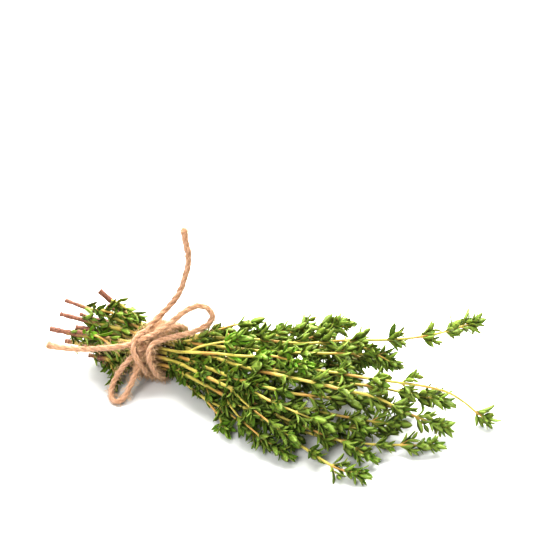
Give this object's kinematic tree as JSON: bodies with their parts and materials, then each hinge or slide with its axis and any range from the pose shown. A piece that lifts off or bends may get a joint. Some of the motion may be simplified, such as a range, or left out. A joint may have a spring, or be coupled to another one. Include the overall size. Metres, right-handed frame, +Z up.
{
  "type": "tied bunch of fresh thyme",
  "caption": "Bunch of leafy thyme sprigs lying on its side, drawn in near the cut ends by jute twine that is tied in a bow.",
  "frame": {"origin": "on the surface that the bunch lies on, under the middle of the box around the sprigs and the binding", "axes": "+X runs along the bunch from the cut ends to the leafy tips, +Z is up; the bow's left loop and left end lie on the -Y side"},
  "size_m": [0.1922, 0.0834, 0.0678],
  "materials": {
    "thyme": "fresh matt green herb leaves on yellow-green stems that are woody and brown at the cut ends",
    "jute": "three-ply twisted natural jute twine with loose fibres"
  },
  "bodies": {
    "root": {"sprig_long_top": "thyme", "sprig_top": "thyme", "sprig_bright": "thyme", "sprig_upper_back": "thyme", "sprig_back": "thyme", "sprig_back_low": "thyme", "sprig_under_back": "thyme", "sprig_inner_back": "thyme", "sprig_inner_front": "thyme", "sprig_drooping": "thyme", "sprig_upper_front": "thyme", "sprig_middle_front": "thyme", "sprig_front": "thyme", "sprig_front_low": "thyme", "sprig_centre_low": "thyme", "sprig_under_front": "thyme", "sprig_low_centre": "thyme", "sprig_under_middle": "thyme", "sprig_under_right": "thyme", "twine_binding": "jute", "bow_loop_left": "jute", "bow_loop_right": "jute", "twine_end_left": "jute", "twine_end_up": "jute"}
  },
  "joints": []
}
